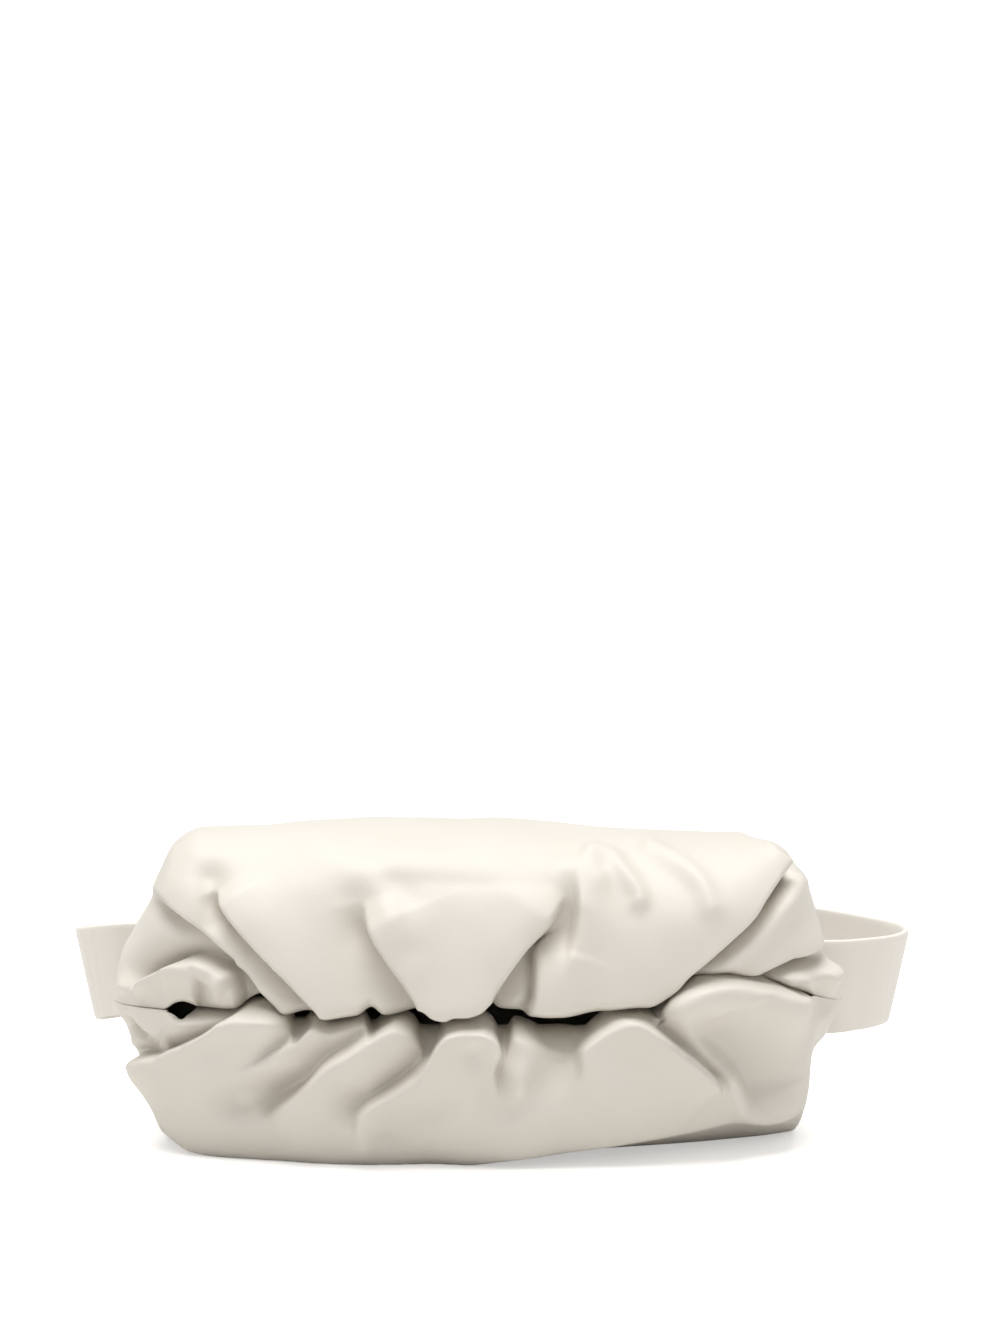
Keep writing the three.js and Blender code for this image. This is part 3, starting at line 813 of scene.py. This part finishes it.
@dataclass
class ClaspSleeve:
    """Plain leather-covered sleeve that holds the two belt ends behind the bag."""

    length: float = 34.0
    wall: float = 2.2
    clear_depth: float = 3.6
    clear_width: float = 42.6
    middle: Place = (0.0, 206.0, 57.0)
    inner_squareness: float = 12.0
    outer_squareness: float = 9.0
    end_power: float = 0.2
    wall_power: float = 0.5
    steps: int = 41
    around: int = 96

    def loop(self, depth: float, width: float, squareness: float) -> Array:
        """Closed superellipse in the sleeve's cross-section.

        Args:
            depth: Its size along y.
            width: Its size along z.
            squareness: Its power: 2 is an ellipse, and more is squarer.

        Returns:
            Points as y and z, one a row.
        """
        angle = np.linspace(0, 2 * np.pi, self.around, endpoint=False)
        power = 2 / squareness
        y = signed_power(np.cos(angle), power) * depth / 2
        z = signed_power(np.sin(angle), power) * width / 2
        return np.stack([y, z], -1)

    def build(self, offset: Array, leather: bpy.types.Material) -> bpy.types.Object:
        """Carry the sleeve's outer and inner outlines along X with rounded ends.

        Args:
            offset: Place of the pouch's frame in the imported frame.
            leather: Material of the sleeve.

        Returns:
            The sleeve.
        """
        inner = self.loop(self.clear_depth, self.clear_width, self.inner_squareness)
        both = 2 * self.wall
        outer = self.loop(self.clear_depth + both, self.clear_width + both, self.outer_squareness)
        turn = np.linspace(0, 2 * np.pi, self.steps, endpoint=False)
        along = signed_power(np.cos(turn), self.end_power) * self.length / 2
        share = 0.5 + 0.5 * signed_power(np.sin(turn), self.wall_power)
        section = inner[None] + (outer - inner)[None] * share[:, None, None]
        x = np.broadcast_to(along[:, None, None], (self.steps, self.around, 1))
        points = np.concatenate([x, section], -1) + np.asarray(self.middle)
        index = np.arange(self.steps * self.around).reshape(self.steps, self.around)
        index = np.concatenate([index, index[:1]], 0)
        index = np.concatenate([index, index[:, :1]], 1)
        faces = [grid_quads(index, False)]
        piece = make_piece("belt_clasp_leather", points.reshape(-1, 3), faces, offset, leather)
        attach(piece, "root")
        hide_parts("belt_clasp")
        return piece


@dataclass
class BeltHalf:
    """One half of the belt: a flat leather band with rounded edges, from the pouch's back to the clasp."""

    sizes: PouchSizes
    side: BeltSide
    node: str
    rows: tuple[BeltRow, ...]
    clasp: ClaspSleeve
    width: float = 42.0
    thickness: float = 3.0
    sewn_from: float = 64.0
    sewn_to: float = 110.0
    sewn_rows: int = 4
    end_gap: float = 6.0
    steps: int = 321
    around: int = 48
    edge_power: float = 0.16
    face_power: float = 0.5
    crease_depth: float = 0.22
    crease_length: float = 5.0
    crease_reach: float = 9.0

    def route(self) -> Array:
        """Rows of the belt's route: x, y, height of its middle, and how far its top edge leans out.

        Returns:
            Rows from the sewn end to the end in the clasp.
        """
        sign = self.side.value
        x = np.linspace(self.sewn_from, self.sewn_to, self.sewn_rows)
        lie = 2 * self.sizes.seam_gap + self.thickness / 2
        level = np.full(self.sewn_rows, self.rows[0][2])
        sewn = np.stack([sign * x, self.sizes.back_of_pouch(x) + lie, level, 0 * x], -1)
        held = np.array([self.clasp.length, self.clasp.length / 2, self.end_gap / 2])
        end = np.full(len(held), self.rows[-1][2])
        behind = np.full(len(held), self.clasp.middle[1])
        last = np.stack([sign * held, behind, end, 0 * held], -1)
        return np.concatenate([sewn, np.asarray(self.rows, float), last])

    def edges(self) -> tuple[Array, Array]:
        """Foot and top edge of the band's middle layer, as splines through the leaning rows.

        Returns:
            Foot and top points, one for each step.
        """
        route = self.route()
        ahead = np.gradient(route[:, :2], axis=0)
        out = unit(np.stack([ahead[:, 1], -ahead[:, 0]], -1)) * self.side.value
        rim = []
        for share in (-1.0, 1.0):
            plan = route[:, :2] + out * (share * route[:, 3:4] / 2)
            height = route[:, 2:3] + share * self.width / 2
            rim.append(spline(np.concatenate([plan, height], 1), self.steps))
        return rim[0], rim[1]

    def creases(self, middle: Array) -> Array:
        """Fine creases across the band where it turns back: a sine along its length under a bell curve.

        Args:
            middle: Points along the band's middle.

        Returns:
            Shift out of the band at each step, in half thicknesses.
        """
        run = np.concatenate([[0.0], np.cumsum(np.linalg.norm(np.diff(middle, axis=0), axis=1))])
        past = run - run[np.argmax(np.abs(middle[:, 0]))]
        depth = 2 * self.crease_depth / self.thickness * bell(past / self.crease_reach + 1 / 2)
        return depth * np.sin(2 * np.pi * past / self.crease_length)

    def build(self, offset: Array, leather: bpy.types.Material) -> bpy.types.Object:
        """Carry a flat, round-edged profile along the route and hand the band to the frame.

        The profile is a superellipse as wide as the belt and as thick as its leather.

        Args:
            offset: Place of the pouch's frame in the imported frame.
            leather: Material of the belt.

        Returns:
            The band.
        """
        foot, top = self.edges()
        middle, up = (foot + top) / 2, (top - foot) / 2
        ahead = np.gradient(middle, axis=0)
        out = unit(np.cross(ahead, up)) * self.thickness / 2
        middle = middle + out * self.creases(middle)[:, None]
        angle = np.linspace(0, 2 * np.pi, self.around, endpoint=False)
        across = signed_power(np.cos(angle), self.edge_power)
        through = signed_power(np.sin(angle), self.face_power)
        ring = middle[:, None] + up[:, None] * across[None, :, None] + out[:, None] * through[None, :, None]
        index = np.arange(self.steps * self.around).reshape(self.steps, self.around)
        around = np.concatenate([index, index[:, :1]], 1)
        sides = grid_quads(around, True)
        ends = [index[0][::-1][None, :], index[-1][None, :]]
        piece = make_piece(f"{self.node}_leather", ring.reshape(-1, 3), [sides, *ends], offset, leather)
        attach(piece, "root")
        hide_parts(self.node)
        return piece


@dataclass
class Studio:
    """Pale floor, soft light from above, and the camera at the photograph's angle, in metres or as named."""

    lens_mm: float = 160.0
    sensor_mm: float = 36.0
    camera_mm: Place = (10.02, -2477.98, 587.68)
    pitch: float = math.radians(8.5927)
    view_range: Point = (0.1, 100.0)
    floor_from: Point = (-20.0, -10.0)
    floor_to: Point = (20.0, 30.0)
    floor_drop: float = 0.0002
    floor_colour: str = "ebeae8"
    floor_roughness: float = 0.9
    floor_shine: float = 0.1
    floor_glow: float = 0.55
    room_strength: float = 0.51
    sky_strength: float = 3.1
    sky_angle: float = math.radians(50.0)
    sky_lean: Point = (math.radians(2.0), math.radians(-3.0))

    def build_floor(self) -> None:
        """Lay a matt pale floor under the bag.

        It glows for the camera's rays alone, so it looks burnt out to white but lights nothing.
        """
        (left, front), (right, back) = self.floor_from, self.floor_to
        z = -self.floor_drop
        corners = [(left, front, z), (right, front, z), (right, back, z), (left, back, z)]
        mesh = bpy.data.meshes.new("studio_floor")
        mesh.from_pydata(corners, [], [(0, 1, 2, 3)])
        floor = bpy.data.objects.new("studio_floor", mesh)
        bpy.context.scene.collection.objects.link(floor)
        paper = bpy.data.materials.new("matt_paper_sweep")
        paper.use_nodes = True
        tree = paper.node_tree
        shader = tree.nodes["Principled BSDF"]
        colour = srgb(self.floor_colour)
        shader.inputs["Base Color"].default_value = colour
        shader.inputs["Roughness"].default_value = self.floor_roughness
        shader.inputs["Specular IOR Level"].default_value = self.floor_shine
        shader.inputs["Emission Color"].default_value = colour
        seen = add_node(tree, "ShaderNodeLightPath").outputs["Is Camera Ray"]
        glow = add_node(tree, "ShaderNodeMath", {"operation": "MULTIPLY"}, {0: seen, 1: self.floor_glow})
        tree.links.new(glow.outputs[0], shader.inputs["Emission Strength"])
        mesh.materials.append(paper)

    def build_light(self) -> None:
        """Light the room evenly, with a wide soft source nearly overhead."""
        world = bpy.data.worlds.new("studio_room")
        world.use_nodes = True
        room = world.node_tree.nodes["Background"]
        room.inputs["Color"].default_value = (1.0, 1.0, 1.0, 1.0)
        room.inputs["Strength"].default_value = self.room_strength
        bpy.context.scene.world = world
        light = bpy.data.lights.new("overhead_softbox", "SUN")
        light.energy = self.sky_strength
        light.angle = self.sky_angle
        lamp = bpy.data.objects.new("overhead_softbox", light)
        lamp.rotation_euler = (self.sky_lean[0], self.sky_lean[1], 0.0)
        bpy.context.scene.collection.objects.link(lamp)

    def build_camera(self, offset: Array) -> None:
        """Place the camera at the photograph's angle, with its view across the bag and a little down.

        Args:
            offset: Place of the pouch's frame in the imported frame.
        """
        camera = bpy.data.cameras.new("photo_camera")
        camera.lens = self.lens_mm
        camera.sensor_width = self.sensor_mm
        camera.clip_start, camera.clip_end = self.view_range
        stand = bpy.data.objects.new("photo_camera", camera)
        stand.location = (np.asarray(self.camera_mm) + offset) * MM
        stand.rotation_euler = (math.pi / 2 - self.pitch, 0.0, 0.0)
        bpy.context.scene.collection.objects.link(stand)
        bpy.context.scene.camera = stand
        bpy.context.scene.view_settings.view_transform = "Standard"


# Tables of the two panels, in millimetres. A far line is the height of the panel's far edge at each x, and a
# lip line is how far the gathers draw the lip away from the mouth there. A swell's two values are how far it
# is raised and its width. The paths of folds and swells are in the front view.
UPPER_FAR_LINE = (
    (-157.5, 62), (-154, 81), (-149, 92), (-144, 102), (-138, 116), (-130, 130), (-118, 136), (-77, 137),
    (-38, 140), (0, 139.5), (53, 136), (105, 132), (127, 130), (134, 126), (140, 116), (146, 102),
    (151, 82), (157.5, 62),
)
UPPER_FOLDS = (
    Fold("left_flap", over=1, step=4, soft=16, dip=8, spread=7, fade=0.75,
         path=((-78, 60), (-100, 85), (-117, 101), (-130, 111), (-143, 119))),
    Fold("left_tuck", over=1, step=6, soft=18, dip=10, spread=6.5, fade=0.75,
         path=((-58, 58), (-82, 83), (-95, 96), (-106, 108), (-112, 118))),
    Fold("centre_left", over=1, step=6, soft=22, dip=9, spread=11, fade=0.7,
         path=((-16.5, 57), (-28, 75), (-37, 87), (-45, 100), (-49, 113))),
    Fold("centre_right", over=-1, step=6, soft=22, dip=12, spread=11, fade=0.75,
         path=((-1.5, 59), (9.5, 77), (19, 90), (29, 101), (39, 115))),
    Fold("right_inner", over=1, step=5, soft=16, dip=9, spread=5, fade=0.65, edge=1.2, tuck=2.6,
         path=((19, 58), (25, 67), (26.5, 74), (27, 84), (28, 94), (33, 103))),
    Fold("right_flap", over=-1, step=6, soft=24, dip=13, spread=5, fade=0.93, edge=1.2, tuck=2.6,
         path=((67, 63), (89, 83), (113, 103), (121, 113), (134, 130))),
    Fold("right_tuck", over=-1, step=4, soft=12, dip=14, spread=4.5, fade=0.85, edge=1.2,
         path=((96, 76), (104, 79), (118, 82.5), (133, 88.5), (152, 93))),
    Fold("right_dent", over=-1, step=3, soft=9, dip=6, spread=7, fade=0.35, edge=1.8, tuck=1.4, begin=0.3,
         path=((40, 126), (43.5, 112), (42.5, 99), (39, 89), (35, 80))),
    Fold("corner_curl", over=1, step=1.5, soft=5, dip=5, spread=3.5, fade=0.85, edge=1.0, tuck=1.2,
         path=((126, 133), (127, 131), (130, 128), (136, 125))),
    Fold("left_hood", over=1, step=7, soft=9, dip=11, spread=8, fade=0.92, begin=0.35,
         path=((-148, 73), (-143, 78), (-130, 84), (-119, 86), (-103, 79))),
    Fold("front_pucker", over=-1, step=3, soft=8, dip=4, spread=7, fade=0.7, edge=1.0, tuck=1.4,
         path=((-117, 60), (-120, 70), (-119, 77), (-117, 81))),
    Fold("back_pucker", over=-1, step=4, soft=8, dip=8, spread=9, fade=0.7, edge=1.0, tuck=1.4,
         path=((-101, 60), (-102, 70), (-104, 77), (-107, 83))),
)
UPPER_SWELLS = (
    Swell("left_tip", 4, 6, ((-156, 77), (-147, 77))),
    Swell("brow", 1.5, 9, ((-33, 127), (10, 128), (48, 128))),
    Swell("brow_crease", -0.45, 3.2, ((-38, 121), (-5, 119.5), (29, 118))),
    Swell("left_brow", 1.5, 9, ((-67, 134), (-50, 122), (-30, 100))),
    Swell("left_dimple", -4, 7, ((-114, 122), (-113, 113), (-111, 105))),
    Swell("centre_dimple", -3, 7, ((-50, 113), (-48, 105))),
    Swell("flap_dent", -1.2, 6, ((-34, 119), (-29, 111), (-28, 92))),
    Swell("knob", 2, 6, ((46, 127), (52, 122))),
    Swell("middle_brow", 3.4, 4, ((49, 133), (57, 131), (62, 125), (68, 116), (69, 112))),
    Swell("right_brow", 3.4, 4.5, ((74, 135), (82, 130), (89, 125), (95, 118), (98, 109))),
    Swell("right_bulge", 8, 6.5, ((119, 75), (136, 79), (155, 80))),
    Swell("bulge_crease", -2.5, 3, ((134, 87), (142, 84), (150, 89))),
    Swell("under_ridge", 4, 5.5, ((99, 83), (116, 94), (132, 111), (137, 121))),
)
UPPER_LIP_LINE = (
    (-157.5, 0), (-134, 1), (-119, -5), (-103, -4), (-97, 1), (-90, 4), (-84, 0), (-80, -3.5), (-72, -1.5),
    (-65, -2.5), (-58, -2), (-50, -0.8), (-44.5, 3), (-39, -0.7), (-21.5, 3), (-17, -0.7), (-13, -2),
    (-9, -0.5), (-5, -0.5), (0.5, 2), (5, 6), (10, 2.5), (18.5, 2), (23, -1), (36, -1.2), (53, 1.5),
    (70, 0.5), (76, 1.5), (87, 1), (104, -1.5), (121, -2), (139, -2), (146, -1), (157.5, 0),
)
LOWER_FAR_LINE = (
    (-157.5, 62), (-151, 48), (-145.5, 34), (-140, 15), (-135, 0), (-124, -10), (0, -10), (118, -10),
    (136, -2), (141, 7), (143.5, 24), (145.5, 40), (151, 46), (157.5, 62),
)
LOWER_FOLDS = (
    Fold("left_corner", over=-1, step=6, soft=14, dip=9, spread=7, fade=0.8,
         path=((-92, 72), (-108, 59), (-122, 51), (-143, 44), (-151, 49))),
    Fold("corner_triangle", over=1, step=4, soft=8, dip=8, spread=6, fade=0.8, edge=1.0, tuck=1.4,
         begin=0.1, path=((-136, 53), (-140, 55.5), (-144, 58.5), (-151, 66))),
    Fold("left_pleat", over=-1, step=5, soft=9, dip=6, spread=8, fade=0.4, edge=2.0,
         path=((-67, 68), (-74, 58), (-80, 50), (-92, 44), (-108, 37))),
    Fold("mid_left_pleat", over=-1, step=7, soft=12, dip=9, spread=10, fade=0.85, edge=2.6,
         path=((-32, 66), (-50, 50), (-63, 42), (-73, 32), (-92, 18))),
    Fold("centre_pleat", over=-1, step=7, soft=12, dip=9, spread=9, fade=0.75, edge=2.4,
         path=((-11, 68), (-17, 49), (-24, 39), (-35, 31), (-48, 23), (-53, 13))),
    Fold("centre_edge", over=1, step=4, soft=14, dip=4, spread=8, fade=0.4, edge=1.8,
         path=((6, 69), (10, 52), (7, 41), (9, 31), (12, 21))),
    Fold("right_slot", over=-1, step=5, soft=12, dip=5, spread=12, fade=0.5, edge=1.8,
         path=((35, 68), (43, 55), (45, 47), (44, 38), (36, 27))),
    Fold("right_pleat", over=1, step=6, soft=16, dip=12, spread=8.5, fade=0.75, edge=2.2,
         path=((60, 70), (70, 60.5), (80.5, 52.5), (92, 43.5), (101, 35), (105, 31))),
    Fold("right_lobe", over=1, step=11, soft=9, dip=9, spread=22, fade=0.72, edge=7.0, tuck=0.0, roll=0.5,
         begin=0.35, path=((88, 72), (91, 58), (99, 49), (107, 41.5), (112, 34), (117, 23), (123, 14))),
)
LOWER_SWELLS = (
    Swell("left_ridge", 3, 8, ((-82, 46), (-100, 40), (-117, 35))),
    Swell("left_hollow", -5, 8, ((-79, 33), (-90, 29), (-102, 26))),
    Swell("pocket_ridge", 4.5, 6, ((17, 58), (21, 47), (19, 34))),
    Swell("pocket_dent", -3.5, 6, ((37, 46), (31, 39), (22, 32))),
    Swell("far_left_lip", 6, 10, ((-122, 58), (-110, 62), (-98, 65), (-87, 66))),
    Swell("left_lip", 2, 8, ((-63, 61), (-49, 62))),
    Swell("centre_lip", 3.5, 9, ((-11, 61), (5, 61))),
    Swell("slot_lip", 3, 9, ((50, 63), (66, 66))),
    Swell("right_lip", 11, 15, ((90, 71), (97, 73), (106, 75), (120, 72), (130, 69))),
    Swell("centre_valley", -2.6, 6, ((0, 47), (5, 36), (11, 23))),
    Swell("edge_ridge", 2.4, 5, ((4, 59), (11, 48), (18, 36))),
    Swell("left_fold_ridge", 2.6, 6, ((-84, 63), (-94, 52), (-112, 43))),
    Swell("foot_ridge", 3, 6, ((-44, 29), (-49, 20), (-47, 10))),
    Swell("foot_dent", -3, 8, ((-20, 23), (-33, 19), (-39, 11))),
)
LOWER_LIP_LINE = (
    (-157.5, 0), (-130, 0), (-125, -3), (-118, -3), (-106, -3), (-97, -6), (-90, -7), (-83, -5), (-79, -1),
    (-75.5, 4), (-72, 0), (-69, -3.5), (-63, -3), (-56, -4.5), (-48, -6), (-44, -1), (-39, -4), (-33, -6.5),
    (-27, -4.5), (-20, 7), (-15, -0.5), (-10, -5.5), (-5, -7), (1, -7), (6, -4.5), (11, 4), (16, -4),
    (23, -2), (31, 3), (40, 6), (44, 3), (49, -2.5), (54, -6), (60, -7.5), (66, -6.5), (71, -3.5),
    (77, 0.5), (82, 0), (88, -2.5), (96, -4.5), (104, -3.5), (117, -2), (128, -1.5), (139, -0.5),
    (157.5, 0),
)


def pouch_panels(sizes: PouchSizes) -> tuple[PouchPanel, PouchPanel]:
    """The panel that falls over the mouth with its folds, and the one that the bag lies on with its pleats.

    Args:
        sizes: Sizes of the pouch.

    Returns:
        The upper and the lower panel.
    """
    upper = PouchPanel(
        sizes=sizes,
        side=PanelSide.UPPER,
        node="upper_panel",
        far_line=UPPER_FAR_LINE,
        folds=UPPER_FOLDS,
        swells=UPPER_SWELLS,
        lip_line=UPPER_LIP_LINE,
        lip_rise=9,
        reach=64,
        lip_reach=61,
        rounding=2.6,
        folds_end=(1.8, 2.6),
        flat=(0.4, 0.26),
        wave_seed=7,
        wave_lengths=(20.0, 80.0),
        wave_share=0.003,
    )
    lower = PouchPanel(
        sizes=sizes,
        side=PanelSide.LOWER,
        node="lower_panel",
        far_line=LOWER_FAR_LINE,
        folds=LOWER_FOLDS,
        swells=LOWER_SWELLS,
        lip_line=LOWER_LIP_LINE,
        lip_rise=8,
        reach=67,
        lip_reach=67,
        rounding=3.6,
        folds_end=(1.1, 1.6),
        flat=(0.4, 0.26),
        wave_seed=11,
        wave_lengths=(22.0, 80.0),
        wave_share=0.006,
    )
    return upper, lower


def belt_halves(sizes: PouchSizes, clasp: ClaspSleeve) -> tuple[BeltHalf, BeltHalf]:
    """The two halves of the belt, with the routes that they take behind the bag.

    A row is x, y, the height of the belt's middle, and how far its top edge leans out.

    Args:
        sizes: Sizes of the pouch.
        clasp: Sleeve that the two halves end in.

    Returns:
        The left and the right half.
    """
    left = (
        (-150, 94, 64, 0), (-163, 97, 63, 5), (-172, 105, 60, 9), (-171, 116, 58, 9), (-158, 128, 57, 4),
        (-128, 149, 57, 0), (-94, 177, 57, 0), (-62, 198, 57, 0),
    )
    right = (
        (151, 89, 57, 0), (170, 95, 57, 5), (183, 106, 57, 9), (186, 121, 57, 9), (175, 141, 57, 4),
        (151, 167, 57, 0), (116, 190, 57, 0), (72, 203, 57, 0),
    )
    return (
        BeltHalf(sizes, BeltSide.LEFT, "belt_left", left, clasp),
        BeltHalf(sizes, BeltSide.RIGHT, "belt_right", right, clasp),
    )


def pouch_offset(sizes: PouchSizes) -> Array:
    """Place of the pouch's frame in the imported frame, from the upper panel's box.

    Args:
        sizes: Sizes of the pouch.

    Returns:
        Offset in millimetres.
    """
    low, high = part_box("upper_panel")
    back = float(sizes.back_of_pouch(np.array(0.0)))
    return np.array([(low.x + high.x) / 2 / MM, high.y / MM - back, 0.0])


def main() -> None:
    """Build the bag piece by piece, then the studio round it."""
    logging.basicConfig(level=logging.INFO, format="%(name)s: %(message)s")
    sizes = PouchSizes()
    offset = pouch_offset(sizes)
    leather = POUCH_LEATHER.material()
    # The strap material's paler colour is a painted highlight; the belt halves and the clasp sleeve share it.
    strap = BELT_LEATHER.material()
    clasp = ClaspSleeve()
    pieces = [panel.build(offset, leather) for panel in pouch_panels(sizes)]
    pieces += [half.build(offset, strap) for half in belt_halves(sizes, clasp)]
    pieces.append(clasp.build(offset, strap))
    for piece in pieces:
        log.info("%s: %d faces", piece.name, len(piece.data.polygons))
    studio = Studio()
    studio.build_floor()
    studio.build_light()
    studio.build_camera(offset)


if __name__ == "__main__":
    main()
